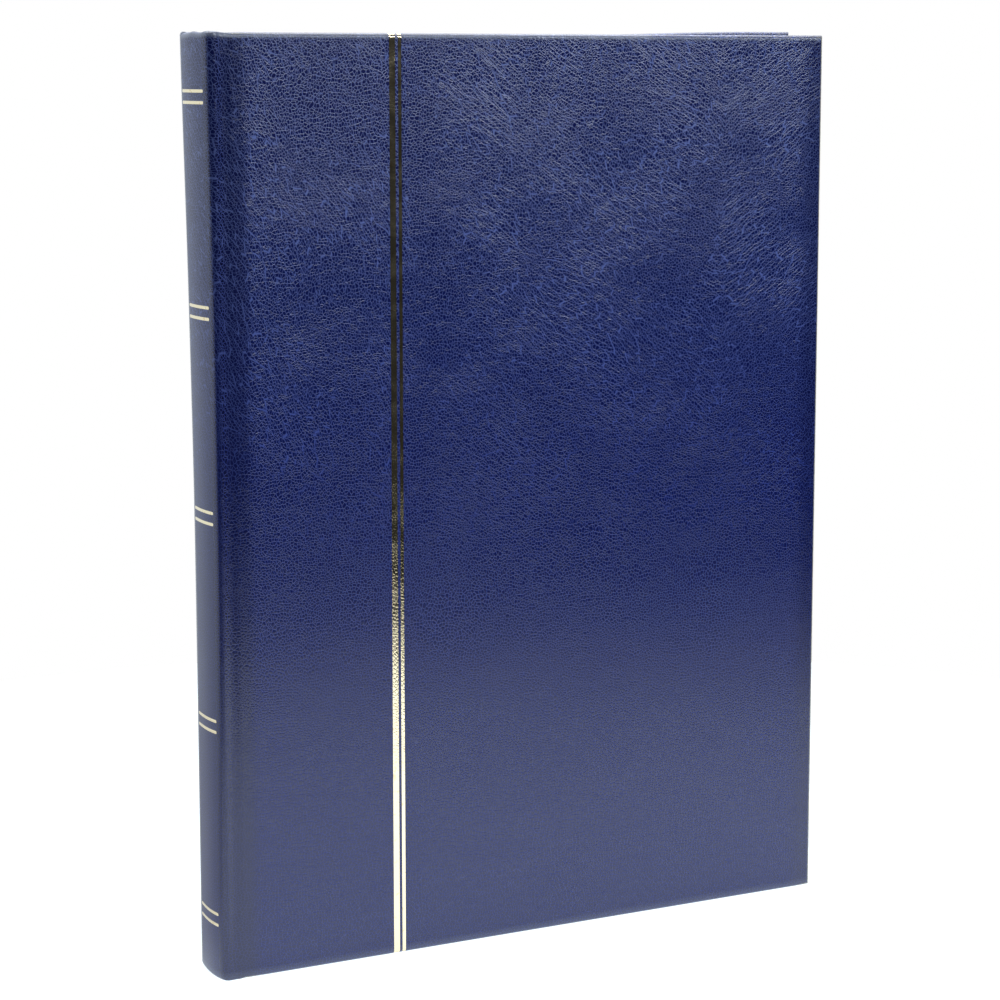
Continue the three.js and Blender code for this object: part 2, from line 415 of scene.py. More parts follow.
def board_paper():
    """Grey pressed board, for the CAD nodes under the leatherette."""
    shader = Shader("greyboard", solid=True)
    place = shader.node("TexCoord", "Object")
    fibre = shader.noise(shader.turned(place, 0.0, (1.0, 2.5)), 1500.0, 6.0)
    tint = shader.mix(shader.mapped(fibre, 0.35, 0.65),
                      (0.30, 0.28, 0.25, 1), (0.46, 0.44, 0.39, 1))
    return shader.finish(Base_Color=tint, Roughness=0.9, Normal=shader.bump(fibre, 0.05 * MM))


board_material = board_paper()


def woven(name, dark, light, per_metre, bends):
    """Plain-woven cloth: two crossed sets of threads. Cloth that bends has a sheet attribute."""
    shader = Shader(name)
    if bends:
        place = shader.attribute("sheet")
    else:
        parts = shader.split(shader.node("TexCoord", "Object"))
        place = shader.node("CombineXYZ", X=parts[1], Y=parts[2])
    threads = [shader.node("TexWave", "Fac", settings={"bands_direction": direction}, Vector=place,
                           Scale=per_metre, Distortion=0.6, Detail=1.0, Detail_Scale=2.0)
               for direction in ("X", "Y")]
    height = shader.math("MAXIMUM", *threads)
    tint = shader.mix(height, dark, light)
    return shader.finish(Base_Color=tint, Roughness=0.92, Sheen_Weight=0.15,
                         Normal=shader.bump(height, 0.05 * MM))


hinge_linen = woven("hinge_linen", (0.010, 0.010, 0.011, 1), (0.035, 0.035, 0.038, 1), 700.0, True)
mull_cloth = woven("mull_cloth", (0.05, 0.05, 0.055, 1), (0.16, 0.16, 0.17, 1), 320.0, False)


def glassine_paper():
    """Thin translucent paper with faint cloudiness."""
    shader = Shader("glassine", Alpha=0.55, IOR=1.5)
    flat = shader.attribute("sheet")
    cloud = shader.noise(flat, 70.0, 5.0)
    fibre = shader.noise(flat, 1400.0, 4.0)
    tint = shader.mix(shader.mapped(cloud, 0.3, 0.7), (0.78, 0.77, 0.71, 1), (0.88, 0.87, 0.82, 1))
    rough = shader.mapped(cloud, 0.3, 0.7, 0.30, 0.42)
    return shader.finish(Base_Color=tint, Roughness=rough, Normal=shader.bump(fibre, 0.01 * MM))


def clear_film():
    """Glass-clear pocket film with a faint haze and slow waves."""
    shader = Shader("clear_film", Transmission_Weight=1.0, IOR=1.45)
    flat = shader.attribute("sheet")
    haze = shader.noise(flat, 60.0, 4.0)
    tint = shader.mix(haze, (0.90, 0.92, 0.94, 1), (0.98, 0.98, 0.99, 1))
    rough = shader.mapped(haze, 0.3, 0.7, 0.03, 0.10)
    wave = shader.noise(shader.turned(flat, 0.0, (1.0, 3.3)), 40.0, 2.0)
    return shader.finish(Base_Color=tint, Roughness=rough, Normal=shader.bump(wave, 0.3 * MM))


glassine = glassine_paper()
film = clear_film()

# ---- the case: one leatherette sheet over spine, joints and boards ----

EDGE = 1.2 * MM
EDGE_ANGLES = np.radians([22.5, 45, 67.5, 90])
MITRE = 70 * MM
HEAD_WAVE_REACH = 26 * MM
JOINT_GROOVE_X = -110.5 * MM
JOINT_GROOVE_DEPTH = 0.62 * MM
STRIPES = [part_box("wide_foil_stripe"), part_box("narrow_foil_stripe")]
CHANNEL_DEPTH = 0.07 * MM
CHANNEL_RAMP = 0.22 * MM


def ring_profile():
    """Rings round an edge and along the turn-in: (outward, share of corner, share of thickness)."""
    rings = [(EDGE * math.sin(a), 1 - math.cos(a), 0.0) for a in EDGE_ANGLES]
    rings += [(EDGE * math.sin(a), math.cos(a) - 1, 1.0) for a in reversed(EDGE_ANGLES)]
    rings += [(0.0, 0.0, 1.0)]
    rings += [(-distance, 0.0, 1.0) for distance in (2 * MM, 6 * MM, TURN_IN - EDGE)]
    return rings


RINGS = ring_profile()
LAST_EDGE_RING = 2 * len(EDGE_ANGLES)


def row_heights():
    """Heights of the rows of points: close together by the head and the tail."""
    ends = [0.0, 0.8, 1.8, 3.0, 4.5, 6.2, 8.2, 10.5, 13, 16, 19, 22]
    low = [EDGE + e * MM for e in ends]
    middle = np.linspace(low[-1], HEIGHT - low[-1], 88)[1:-1]
    return np.array(low + list(middle) + [HEIGHT - e for e in reversed(low)])


ROWS = row_heights()


def head_wave(u):
    """How far the head edge rises over the spine and the joint, where the sheet is soft."""
    places = np.array([-9, -3, 1.5, 6, 9.5, 12, 15.5, 21, 27]) * MM
    rises = np.array([0, -0.12, 0.38, -0.10, 0.42, 0.30, -0.10, 0.06, 0]) * MM
    fine = np.linspace(places[0], places[-1], 145)
    curve = np.interp(fine, places, rises)
    curve = np.convolve(curve, np.ones(9) / 9, mode="same")
    return np.interp(u, fine, curve, left=0, right=0)


def back_head_rise(x, z):
    """How far the back cover's head edge stands up towards the fore edge."""
    return 1.4 * MM * ramp(x, 25 * MM, 75 * MM) * ramp(z - HEIGHT, -90 * MM, 90 * MM)


def relief(u, z):
    """Slow unevenness of the covered surface, outwards."""
    return (0.10 * smooth_noise(u, z, 11.0, 3.0) + 0.05 * smooth_noise(u, z, 31.0, 8.0)) * MM


def smooth_line(heights, values):
    """A smooth curve through (height, value) pairs, as a function of height."""
    fine = np.linspace(heights[0] - 0.06, heights[-1] + 0.06, 400)
    curve = np.interp(fine, heights, values)
    for _ in range(2):
        curve = np.convolve(np.pad(curve, 14, mode="edge"), np.ones(29) / 29, mode="valid")
    return lambda z: np.interp(z, fine, curve)


# The spine stands out at its head and is sunk lower down, deeper by the back shoulder.
FRONT_LEAN = smooth_line([0.02, 0.084, 0.152, 0.2175, 0.285, 0.305],
                         np.array([0.1, -0.3, -0.25, 0.1, 1.15, 1.35]) * MM)
BACK_LEAN = smooth_line([0.02, 0.077, 0.156, 0.2335, 0.305],
                        np.array([-1.0, -1.0, -0.9, 0.05, 1.45]) * MM)


def spine_relief(u, z):
    """How far the spine and its shoulders stand out; u is positive towards the front."""
    share = ramp(u, -9 * MM, 18 * MM)
    lean = FRONT_LEAN(z) * share + BACK_LEAN(z) * (1 - share)
    return lean * (1 - ramp(np.abs(u), 9.5 * MM, 5.5 * MM)) + 0.35 * relief(u, z)


class Wrap:
    """A sheet over a face that turns round its edges at head and tail, and at the fore edge.

    Its columns are given by their places in plan (x, y), their inward normals, the thickness of
    the case there and their places u on the flat material. shape says how far a point stands out.
    """

    def __init__(self, side, x, y, normal, thickness, u, fore_edge, shape):
        self.side, self.x, self.y, self.normal = side, x, y, normal
        self.thickness, self.u, self.fore_edge = thickness, u, fore_edge
        self.top, self.end = len(ROWS) - 1, len(x) - 1
        self.index = np.arange(len(ROWS) * len(x)).reshape(len(ROWS), len(x))
        self.points, self.sheet, self.wear_and_highlight = [], [], []
        self.cover_face(shape)
        self.faces = grid_faces(self.index)
        self.tracks = [self.turn_over(run) for run in self.edge_runs()]
        self.points = np.array(self.points)
        self.sheet = np.array(self.sheet)
        self.wear_and_highlight = np.clip(self.wear_and_highlight, 0, 1)
        self.faces = flip(self.faces) if side == BACK else self.faces

    def cover_face(self, shape):
        """The points of the face, row by row from the tail up."""
        for z in ROWS:
            lifted = shape(self.u, np.full(len(self.x), z))
            rise = head_wave(self.u) * ramp(z - HEIGHT, -HEAD_WAVE_REACH, HEAD_WAVE_REACH)
            if self.side == BACK and self.fore_edge:
                rise = rise + back_head_rise(self.x, z)
            # Paler rows by the edges: wear at the tail, and at the head a stronger painted highlight.
            worn_and_lit = 0.3 * bump(z, EDGE, 2 * MM) + 0.9 * bump(z, HEIGHT - EDGE, 1.0 * MM)
            for c, x in enumerate(self.x):
                out = -self.normal[c] * lifted[c]
                self.points.append((x + out[0], self.y[c] + out[1], z + rise[c]))
                self.sheet.append((-self.side * self.u[c], z, 0))
                self.wear_and_highlight.append(worn_and_lit)

    def edge_runs(self):
        """The runs of (row, column) along which the sheet turns over."""
        head = [(self.top, c) for c in range(self.end + 1)]
        tail = [(0, c) for c in range(self.end, -1, -1)]
        if not self.fore_edge:
            return [head, tail]
        return [head + [(r, self.end) for r in range(self.top - 1, -1, -1)] + tail[1:]]

    def outward_shares(self, r, c):
        """How much an edge point turns over upwards, and how much towards the fore edge."""
        up = 1.0 if r == self.top else (-1.0 if r == 0 else 0.0)
        over = 1.0 if self.fore_edge and c == self.end else 0.0
        if self.fore_edge and up and not over:
            over = float(ramp(self.x[c] - RIGHT, -MITRE, MITRE))
        elif over and not up:
            up = float(ramp(ROWS[r] - HEIGHT, -MITRE, MITRE) - ease((MITRE - ROWS[r]) / MITRE))
        return up, over

    def turn_over(self, run):
        """Adds rings of points from the face's edge round the board and along its inside."""
        track = [[int(self.index[place]) for place in run]]
        for before, step in zip([(0.0, 0.0, 0.0)] + RINGS, RINGS):
            ring = self.add_ring(run, track[-1], before, step)
            self.faces += zip(track[-1], track[-1][1:], ring[1:], ring)
            track.append(ring)
        return track

    def add_ring(self, run, previous, before, step):
        """Points along a run at one step of RINGS; before is the step of the previous ring."""
        outward, corner_share, thick_share = step
        board_side = self.fore_edge and thick_share
        ring = []
        for (r, c), neighbour in zip(run, previous):
            normal, thickness = self.normal[c], self.thickness[c]
            up, over = self.outward_shares(r, c)
            corner = corner_share * min(EDGE, thickness / 2)
            depth = corner + thick_share * thickness
            x, y, z = self.points[int(self.index[r, c])]
            # Over the board the turn-in lies in one plane, whatever the relief of the face.
            level = float(ramp(self.x[c], -110 * MM, 2 * MM)) if board_side else 0.0
            flat_y = self.side * (OUTER - COVER_THICKNESS) + normal[1] * corner
            ring.append(len(self.points))
            self.points.append((x + normal[0] * depth + over * outward,
                                (y + normal[1] * depth) * (1 - level) + flat_y * level,
                                z + up * outward))
            length = math.hypot(outward - before[0], (corner_share - before[1]) * EDGE
                                + (thick_share - before[2]) * thickness)
            place = self.sheet[neighbour]
            along = length if over >= 0.999 else 0.0
            upward = math.copysign(length, up) if abs(up) >= 0.999 else 0.0
            self.sheet.append((place[0] + along, place[1] + upward, 0))
            # Paler turned-over rings: wear, and over the head a painted highlight.
            edge_wear_and_highlight = 0.3 if over else 0.3 + 0.7 * max(0.0, up)
            self.wear_and_highlight.append(edge_wear_and_highlight * min(1.0, max(0.0, 1 + outward / (2 * MM))))
        return ring

    def strip(self, first, last):
        """Points over columns first..last, from the tail edge over the face to the head."""
        track = self.tracks[0]
        count = len(track[0])
        rows = []
        for ring in reversed(track[1:LAST_EDGE_RING + 1]):
            rows.append([ring[count - 1 - c] for c in range(first, last + 1)])
        rows += [[int(v) for v in row[first:last + 1]] for row in self.index]
        for ring in track[1:LAST_EDGE_RING + 1]:
            rows.append([ring[c] for c in range(first, last + 1)])
        return np.array(rows)


def shoulder(start):
    """A curve from the end of the spine's arc round the shoulder to the joint."""
    start = np.array(start)
    slope = np.array([math.sin(SPINE_END_ANGLE), math.cos(SPINE_END_ANGLE)])
    end = np.array([-113.0 * MM, 11.32 * MM])
    controls = [start, start + slope * 1.75 * MM, end - np.array([1.35, 0.05]) * MM, end]
    corner = []
    for t in np.linspace(0, 1, 15)[1:]:
        weights = [(1 - t) ** 3, 3 * t * (1 - t) ** 2, 3 * t * t * (1 - t), t ** 3]
        corner.append(tuple(sum(w * c for w, c in zip(weights, controls))))
    return corner


def cover_columns():
    """Places of the columns from the joint to the fore edge: close at the joint and the stripes."""
    xs = list(np.arange(-112.7, -106.0, 0.3) * MM)
    xs += list(np.arange(-105.8, -97.0, 0.9) * MM)
    xs += list(np.linspace(-96.5 * MM, RIGHT - 6 * MM, 86))
    xs += [RIGHT - e * MM for e in (4.6, 3.4, 2.4, 1.5)] + [RIGHT - EDGE]
    for low, high in STRIPES:
        xs = [x for x in xs if not low.x - 0.9 * MM < x < high.x + 0.9 * MM]
        half = CHANNEL_RAMP / 2
        xs += [low.x - 0.8 * MM, low.x - 0.02 * MM, low.x, low.x + half, low.x + CHANNEL_RAMP]
        xs += [(low.x + high.x) / 2]
        xs += [high.x - CHANNEL_RAMP, high.x - half, high.x, high.x + 0.02 * MM, high.x + 0.8 * MM]
    crowded = sorted(xs)
    xs = crowded[:1]
    for x in crowded[1:]:
        if x - xs[-1] > 0.015 * MM:
            xs.append(x)
    return xs


def cover_outline():
    """(x, depth from the mid-plane) from the spine's seam round the shoulder to the fore edge."""
    arc = [(SPINE_AXIS - SPINE_RADIUS * math.cos(a), SPINE_RADIUS * math.sin(a))
           for a in np.linspace(SEAM_ANGLE, SPINE_END_ANGLE, 3)]
    face = []
    for x in cover_columns():
        at_joint = 1 - float(ramp(x, -112 * MM, 14 * MM))
        at_fore_edge = float(ramp(x - RIGHT, -7.5 * MM, 7 * MM))
        face.append((x, OUTER - 0.20 * MM * at_joint - 0.22 * MM * at_fore_edge))
    return np.array(arc + shoulder(arc[-1]) + face)


def outline_frame(outline):
    """Arc lengths, and the unit inward normals in (x, depth)."""
    steps = np.diff(outline, axis=0)
    lengths = np.concatenate([[0], np.cumsum(np.linalg.norm(steps, axis=1))])
    tangents = np.gradient(outline, lengths, axis=0)
    tangents /= np.linalg.norm(tangents, axis=1, keepdims=True)
    normals = np.stack([tangents[:, 1], -tangents[:, 0]], axis=1)
    flat = outline[:, 0] > -105 * MM
    normals[flat] = (0, -1)
    return lengths + SPINE_RADIUS * SEAM_ANGLE, normals


def cover_wrap(side):
    """The sheet from the spine's seam over the joint and the board to the fore edge."""
    outline = cover_outline()
    u, normals = outline_frame(outline)
    x, depth = outline[:, 0], outline[:, 1]
    past_spine = ramp(x, -114.6 * MM, 2.4 * MM)
    on_board = ramp(x, -109.2 * MM, 1.8 * MM)
    thickness = SPINE_THICKNESS + (JOINT_THICKNESS - SPINE_THICKNESS) * past_spine
    thickness = thickness + (COVER_THICKNESS - JOINT_THICKNESS) * on_board
    groove = bump(x, JOINT_GROOVE_X, 3.2 * MM)
    channel = np.zeros(len(x))
    if side == FRONT:
        for low, high in STRIPES:
            inside = np.minimum(x - low.x, high.x - x)
            channel += np.where(inside >= -1e-7, ease(inside / CHANNEL_RAMP) * 0.85 + 0.15, 0)

    def shape(places, heights):
        """Relief, the joint's groove with its folds at the head, and the foil's channels."""
        ends = ramp(heights, 0, 25 * MM) * ramp(HEIGHT - heights, 0, 25 * MM)
        open_share = 0.25 + 0.75 * ends
        crumple = bump(x, -110.8 * MM, 3.6 * MM) * ramp(heights - HEIGHT, -30 * MM, 26 * MM)
        folds = smooth_noise(places * 2.2, heights * 0.5, 300.0, 5.0) * 0.22 * MM * crumple
        soft = 1 - ramp(x, -114 * MM, 5 * MM)
        return (relief(-side * places, heights) * (1 - soft)
                + spine_relief(-side * places, heights) * soft
                - JOINT_GROOVE_DEPTH * groove * open_share + folds - CHANNEL_DEPTH * channel)

    inward = np.stack([normals[:, 0], side * normals[:, 1]], axis=1)
    return Wrap(side, x, side * depth, inward, thickness, u, True, shape)


def spine_wrap():
    """The sheet over the spine, between the two covers' seams."""
    angles = np.linspace(-SEAM_ANGLE, SEAM_ANGLE, 33)
    x = SPINE_AXIS - SPINE_RADIUS * np.cos(angles)
    y = -SPINE_RADIUS * np.sin(angles)
    inward = np.stack([np.cos(angles), np.sin(angles)], axis=1)
    u = SPINE_RADIUS * angles
    thickness = np.full(len(x), SPINE_THICKNESS)
    return Wrap(FRONT, x, y, inward, thickness, u, False, spine_relief)


def cover_taut_and_shade(x):
    """The leatherette is stretched over the joint and, a little less, by the fore edge, so its grain is
    shallower there; its colour there is darkened as painted shade.
    """
    return 1 - ramp(x, -106 * MM, 5 * MM) + 0.8 * ramp(x - RIGHT, -11 * MM, 8 * MM)


def leather_piece(name, wrap, material, taut_and_shade, *nodes):
    """One closed sheet of leatherette, in place of the CAD nodes named."""
    piece = sheet_piece(name, wrap.points, wrap.faces, LEATHER, material, wrap.sheet, wrap.wear_and_highlight, taut_and_shade)
    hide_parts(*nodes)
    return piece


front_wrap = cover_wrap(FRONT)
back_wrap = cover_wrap(BACK)

for side, wrap, word in ((FRONT, front_wrap, "front"), (BACK, back_wrap, "back")):
    piece = leather_piece(f"{word}_case_leather", wrap, cover_leather, cover_taut_and_shade(wrap.points[:, 0]),
                          f"{word}_leather", f"{word}_joint_leather")
    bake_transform(piece)

spine_sheet = spine_wrap()
# Even over the spine: shallower grain and a slightly darker tone all over, not shade.
spine_tautness = np.full(len(spine_sheet.points), 0.5)
piece = leather_piece("spine_case_leather", spine_sheet, spine_leather, spine_tautness, "spine_leather")
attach(piece, "spine")


def spine_stiffener(wrap):
    """The card strip inside the spine, a little smaller than the leather over it."""
    index = wrap.index[1:-1, 3:-3]
    keep = index.ravel()
    normals = point_normals(wrap.points, wrap.faces)
    points = wrap.points[keep] - normals[keep] * (LEATHER + 0.05 * MM)
    local = np.arange(len(keep)).reshape(index.shape)
    piece = sheet_piece("spine_card", points, grid_faces(local), SPINE_CARD, board_material,
                        wrap.sheet[keep])
    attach(piece, "spine")
    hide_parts("spine_inlay")


spine_stiffener(spine_sheet)

# ---- foil ----

FOIL = 0.03 * MM
LINE_FOIL = 0.06 * MM


def lay_foil(name, wrap, first, last, node):
    """Foil in a stripe's channel, just proud of the leather under it."""
    index = wrap.strip(first, last)
    lifted = wrap.points + point_normals(wrap.points, wrap.faces) * FOIL / 2
    keep = index.ravel()
    local = np.arange(len(keep)).reshape(index.shape)
    piece = sheet_piece(name, lifted[keep], grid_faces(local), FOIL, stripe_foil, wrap.sheet[keep])
    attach(piece, "front_cover")
    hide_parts(node)


for node, (low, high) in zip(("wide_foil_stripe", "narrow_foil_stripe"), STRIPES):
    inside = [i for i, x in enumerate(front_wrap.x) if low.x - 1e-6 <= x <= high.x + 1e-6]
    lay_foil(node.replace("stripe", "band"), front_wrap, inside[0], inside[-1], node)


def spine_line(node):
    """A stamped line round the spine, with rounded ends."""
    low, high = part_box(node)
    half_angle = math.asin(high.y / SPINE_RADIUS)
    middle, half = (low.z + high.z) / 2, (high.z - low.z) / 2
    ends = half / SPINE_RADIUS
    tip = -half_angle + ends * (1 - np.cos(np.radians([0, 20, 40, 60, 80])))
    body = np.linspace(-half_angle + ends, half_angle - ends, 27)
    angles = np.concatenate([tip, body, -tip[::-1]])
    points, sheet = [], []
    across = (-1, -0.72, 0, 0.72, 1)
    for share in across:
        for angle in angles:
            short = max(0.0, 1 - (half_angle - abs(angle)) / ends)
            z = middle + share * half * math.sqrt(max(0.02, 1 - short * short))
            u = SPINE_RADIUS * angle
            lift = spine_relief(np.array([u]), np.array([z]))[0]
            radius = SPINE_RADIUS + (0.02 if abs(share) == 1 else 0.035) * MM + lift
            points.append((SPINE_AXIS - radius * math.cos(angle), -radius * math.sin(angle), z))
            sheet.append((u, z, 0))
    index = np.arange(len(points)).reshape(len(across), len(angles))
    piece = sheet_piece(f"{node}_foil", np.array(points), grid_faces(index), LINE_FOIL, line_foil,
                        np.array(sheet))
    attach(piece, "spine")
    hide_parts(node)


for pair in range(1, 6):
    for edge in ("upper", "lower"):
        spine_line(f"spine_line_{pair}_{edge}")

# ---- endpapers ----

def resample(path, step):
    """Points along a polyline, no further apart than step."""
    out = [np.array(path[0], float)]
    for a, b in zip(path, path[1:]):
        a, b = np.array(a, float), np.array(b, float)
        count = max(1, math.ceil(np.linalg.norm(b - a) / step))
        out += [a + (b - a) * k / count for k in range(1, count + 1)]
    return np.array(out)


def rounded(path, rounds=2):
    """Cuts a polyline's corners."""
    path = [np.array(p, float) for p in path]
    for _ in range(rounds):
        cut = [path[0]]
        for a, b in zip(path, path[1:]):
            cut += [a * 0.75 + b * 0.25, a * 0.25 + b * 0.75]
        path = cut + [path[-1]]
    return path


def ribbon(name, path, heights, thickness, material, lift=None):
    """A standing sheet whose plan is a polyline centred in its thickness.

    Its outer face is on the right of the path, and lift moves the sheet towards that side.
    """
    path = np.array(path)
    steps = np.diff(path, axis=0)
    lengths = np.concatenate([[0], np.cumsum(np.linalg.norm(steps, axis=1))])
    tangents = np.gradient(path, lengths, axis=0)
    tangents /= np.linalg.norm(tangents, axis=1, keepdims=True)
    outward = np.stack([tangents[:, 1], -tangents[:, 0]], axis=1)
    points, sheet = [], []
    for z in heights:
        raised = lift(path[:, 0], z) if lift else np.zeros(len(path))
        outer = path + outward * (thickness / 2 + raised)[:, None]
        points += [(p[0], p[1], z) for p in outer]
        sheet += [(s, z, 0) for s in lengths]
    index = np.arange(len(points)).reshape(len(heights), len(path))
    piece = sheet_piece(name, np.array(points), grid_faces(index), thickness, material, np.array(sheet))
    return piece


ENDPAPER = 0.12 * MM
SINK = 0.12 * MM
# The fold of the front endpaper in its joint, in millimetres: along x, and across.
FOLD = [(-109.4, -9.25), (-110.4, -9.85), (-109.2, -10.3), (-108.1, -10.1), (-107.6, -9.3),
        (-106.6, -9.05), (-104, -9.05)]


def sink(x, z):
    """The paper settles a little where there is no turn-in under it."""
    across = ramp(x, -104 * MM, 3 * MM) * ramp(RIGHT - TURN_IN - x, 0, 3 * MM)
    upright = ramp(z, TURN_IN, 3 * MM) * ramp(HEIGHT - TURN_IN - z, 0, 3 * MM)
    return across * upright * SINK


for side, word in ((FRONT, "front"), (BACK, "back")):
    paste_low, paste_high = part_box(f"{word}_pastedown")
    inner = min(abs(paste_low.y), abs(paste_high.y))
    fold = rounded([(x * MM, y * MM) for x, y in FOLD])
    path = resample(fold + [(paste_high.x, -(inner + 0.05 * MM))], 4 * MM)
    if side == BACK:
        path = (path * (1, -1))[::-1]
    heights = np.linspace(paste_low.z, paste_high.z, 45)
    piece = ribbon(f"{word}_endpaper", path, heights, ENDPAPER, endpaper, sink)
    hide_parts(f"{word}_pastedown")
    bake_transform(piece)

# ---- flyleaves, leaves and glassine ----

FLAT_ROWS = np.linspace(leaf_low.z, leaf_high.z, 16)
HINGE_LEFT = -109.2 * MM
BENDS_TO = -105.5 * MM
CARD = 0.5 * MM
CARD_LEFT = leaf_high.x - 210 * MM
CORNER = 2 * MM
LINEN = 0.2 * MM
LINEN_LAP = 3 * MM
FILM = 0.05 * MM
STRIP_ROWS = 9
STRIP_PITCH = 32 * MM
STRIP_MARGIN = 5 * MM
# A strip's height and its gap from the card, in millimetres.
STRIP_PROFILE = [(0.0, 0.0), (0.8, 0.0), (1.6, 0.02), (10.0, 0.05), (20.0, 0.07), (29.0, 0.09)]


def straight(x_low, x_high, y, fine_to=None):
    """A path along x, with close points up to fine_to for the part that bends."""
    xs = [x_low]
    if fine_to is not None:
        xs = list(np.linspace(x_low, fine_to, 15))
    count = max(2, round((x_high - xs[-1]) / (12 * MM)))
    xs += list(np.linspace(xs[-1], x_high, count + 1)[1:])
    return np.array([(x, y) for x in xs])


for side, word in ((FRONT, "front"), (BACK, "back")):
    low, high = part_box(f"{word}_flyleaf")
    y = (low.y + high.y) / 2
    path = straight(HINGE_LEFT, high.x, y, BENDS_TO)
    piece = ribbon(f"{word}_fly_page", path, FLAT_ROWS, high.y - low.y, endpaper)
    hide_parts(f"{word}_flyleaf")
    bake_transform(piece)


def pocket_strips(name, y):
    """Clear strips on both faces of a card: fixed along the foot, open along the top."""
    points, faces, sheet = [], [], []
    xs = np.linspace(CARD_LEFT + STRIP_MARGIN, leaf_high.x - STRIP_MARGIN, 9)
    index = np.arange(len(STRIP_PROFILE) * len(xs)).reshape(len(STRIP_PROFILE), len(xs))
    for face in (FRONT, BACK):
        quads = grid_faces(index) if face == FRONT else flip(grid_faces(index))
        for row in range(STRIP_ROWS):
            foot = leaf_low.z + STRIP_MARGIN + row * STRIP_PITCH
            own, place = [], []
            for up, off in STRIP_PROFILE:
                out = CARD / 2 + FILM + off * MM + 0.002 * MM
                own += [(x, y + face * out, foot + up * MM) for x in xs]
                place += [(x, foot + up * MM, face * 0.01) for x in xs]
            solid, closed = thicken(own, quads, FILM)
            start = len(points)
            points += [tuple(p) for p in solid]
            faces += [tuple(start + v for v in f) for f in closed]
            sheet += place + place
    piece = make_piece(name, points, faces, film, sheet)
    return piece


def rounded_card(name, y):
    """A card with slightly rounded corners at the fore edge."""
    points, sheet = [], []
    xs = list(np.linspace(CARD_LEFT, leaf_high.x - CORNER, 18))
    trims = [0.0] * len(xs)
    for angle in EDGE_ANGLES:
        xs.append(leaf_high.x - CORNER + CORNER * math.sin(angle))
        trims.append(CORNER * (1 - math.cos(angle)))
    shares = np.linspace(0, 1, 12)
    for share in shares:
        for x, trim in zip(xs, trims):
            z = leaf_low.z + trim + share * (leaf_high.z - leaf_low.z - 2 * trim)
            points.append((x, y - CARD / 2, z))
            sheet.append((x, z, 0))
    index = np.arange(len(points)).reshape(len(shares), len(xs))
    piece = sheet_piece(name, np.array(points), grid_faces(index), CARD, leaf_card, np.array(sheet))
    return piece


for i in range(1, LEAVES + 1):
    number, body = f"{i:02d}", f"leaf_{i:02d}_body"
    low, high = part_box(f"leaf_{number}")
    y = (low.y + high.y) / 2
    card = rounded_card(f"card_{number}", y)
    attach(card, body)
    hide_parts(f"leaf_{number}")
    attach(pocket_strips(f"pocket_strips_{number}", y), body)
    path = straight(HINGE_LEFT, CARD_LEFT + LINEN_LAP, y, BENDS_TO)
    linen = ribbon(f"linen_hinge_{number}", path, FLAT_ROWS, LINEN, hinge_linen)
    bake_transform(linen)
    if i < LEAVES:
        low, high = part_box(f"glassine_{number}")
        path = straight(low.x, high.x, (low.y + high.y) / 2)
        sheet = ribbon(f"interleaf_{number}", path, FLAT_ROWS, high.y - low.y, glassine)
        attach(sheet, body)
        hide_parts(f"glassine_{number}")

# ---- CAD nodes that stay ----

for node in ("front_board", "back_board"):
    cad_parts[node].data.materials.clear()
    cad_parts[node].data.materials.append(board_material)
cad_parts["block_mull"].data.materials.clear()
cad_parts["block_mull"].data.materials.append(mull_cloth)

# ---- studio ----

FLOOR_RADIUS = 0.46
FLOOR_GLOW_FRONT = 1.38
FLOOR_GLOW_BACK = 0.45


def disc(reach, rings, spokes):
    """Points and faces of a flat disc round the origin."""
    points = [(0.0, 0.0, 0.0)]
    faces = []
    for ring in range(1, rings + 1):
        for spoke in range(spokes):
            angle = 2 * math.pi * spoke / spokes
            radius = reach * ring / rings
            points.append((radius * math.cos(angle), radius * math.sin(angle), 0.0))
    for spoke in range(spokes):
        faces.append((0, 1 + spoke, 1 + (spoke + 1) % spokes))
    for ring in range(rings - 1):
        for spoke in range(spokes):
            a = 1 + ring * spokes + spoke
            b = 1 + ring * spokes + (spoke + 1) % spokes
            faces.append((a, a + spokes, b + spokes, b))
    return points, faces


def make_floor():
    """White to the camera; its glow in reflections is stronger in front of the album."""
    points, faces = disc(FLOOR_RADIUS, 24, 96)
    mesh = bpy.data.meshes.new("floor")
    mesh.from_pydata(points, [], faces)
    floor = bpy.data.objects.new("floor", mesh)
    bpy.context.scene.collection.objects.link(floor)
    shader = Shader("pale_floor", solid=True, Base_Color=(0.2, 0.2, 0.2, 1), Roughness=0.9,
                    Emission_Color=(0.86, 0.95, 1.0, 1))
    depth = shader.split(shader.node("TexCoord", "Object"))[1]
    level = shader.mapped(depth, -0.04, 0.06, FLOOR_GLOW_FRONT, FLOOR_GLOW_BACK)
    seen = shader.node("LightPath", "Is Camera Ray")
    mesh.materials.append(shader.finish(Emission_Strength=shader.math("MAXIMUM", level, seen)))
    return floor


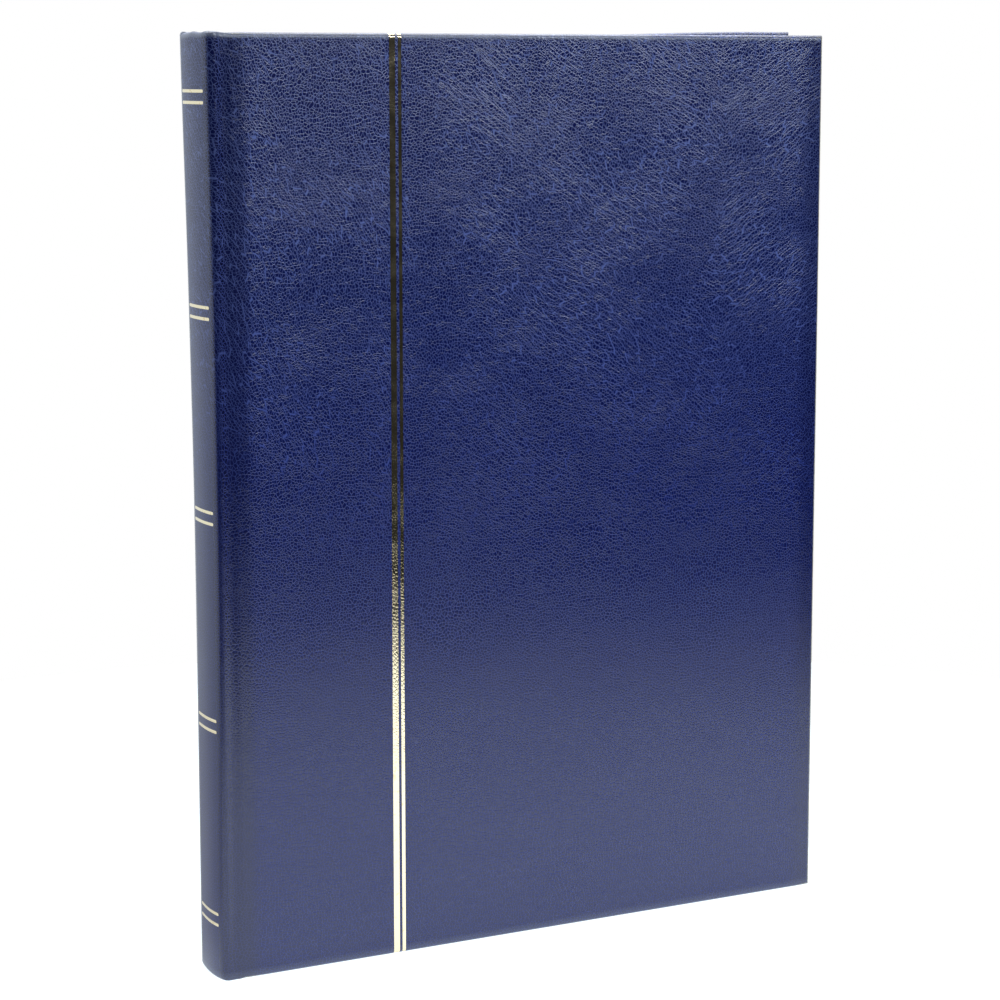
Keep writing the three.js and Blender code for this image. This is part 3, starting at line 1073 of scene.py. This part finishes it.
floor = make_floor()
floor.location.z = -0.02 * MM
floor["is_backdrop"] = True


def studio_world():
    """White behind the album and where the camera looks, dark behind the camera."""
    world = bpy.data.worlds.new("studio")
    bpy.context.scene.world = world
    world.use_nodes = True
    nodes, links = world.node_tree.nodes, world.node_tree.links
    nodes.clear()
    place = nodes.new("ShaderNodeTexCoord")
    parts = nodes.new("ShaderNodeSeparateXYZ")
    links.new(place.outputs["Generated"], parts.inputs[0])
    level = nodes.new("ShaderNodeMapRange")
    level.interpolation_type = "SMOOTHSTEP"
    level.inputs["From Min"].default_value = -0.1
    level.inputs["From Max"].default_value = 0.5
    level.inputs["To Min"].default_value = 0.02
    level.inputs["To Max"].default_value = 0.92
    links.new(parts.outputs[1], level.inputs["Value"])
    around = nodes.new("ShaderNodeBackground")
    links.new(level.outputs[0], around.inputs["Strength"])
    seen = nodes.new("ShaderNodeBackground")
    seen.inputs["Strength"].default_value = 1.0
    seen.inputs["Color"].default_value = (1, 1, 1, 1)
    around.inputs["Color"].default_value = (0.88, 0.96, 1.0, 1)
    path = nodes.new("ShaderNodeLightPath")
    mix = nodes.new("ShaderNodeMixShader")
    links.new(path.outputs["Is Camera Ray"], mix.inputs[0])
    links.new(around.outputs[0], mix.inputs[1])
    links.new(seen.outputs[0], mix.inputs[2])
    output = nodes.new("ShaderNodeOutputWorld")
    links.new(mix.outputs[0], output.inputs["Surface"])


studio_world()


def softbox(name, place, size, power, colour):
    """A rectangular lamp that faces the album."""
    data = bpy.data.lights.new(name, "AREA")
    data.shape = "RECTANGLE"
    data.size, data.size_y = size
    data.energy = power
    data.color = colour
    light = bpy.data.objects.new(name, data)
    bpy.context.scene.collection.objects.link(light)
    light.location = place
    light.rotation_euler = (Vector(AIM) - Vector(place)).to_track_quat("-Z", "Y").to_euler()


AIM = (0.0, 0.0, 0.25)
softbox("overhead", (0.0, 0.10, 0.95), (1.3, 0.9), 16.0, (1.0, 1.0, 1.0))
softbox("front_right", (0.50, -0.85, 0.62), (1.2, 0.14), 5.0, (0.88, 0.94, 1.0))

CAMERA_PLACE = (-0.4673, -0.8336, 0.2951)
DEGREES_DOWN = 8.715
DEGREES_RIGHT = 28.944


def place_camera():
    """A long lens, a little above the album's middle and to its left."""
    scene = bpy.context.scene
    scene.view_settings.view_transform = "Standard"
    data = bpy.data.cameras.new("camera")
    data.lens = 102.3
    data.sensor_width = 36.0
    camera = bpy.data.objects.new("camera", data)
    scene.collection.objects.link(camera)
    camera.location = CAMERA_PLACE
    camera.rotation_euler = (math.radians(90 - DEGREES_DOWN), 0, math.radians(-DEGREES_RIGHT))
    scene.camera = camera


place_camera()

low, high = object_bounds()
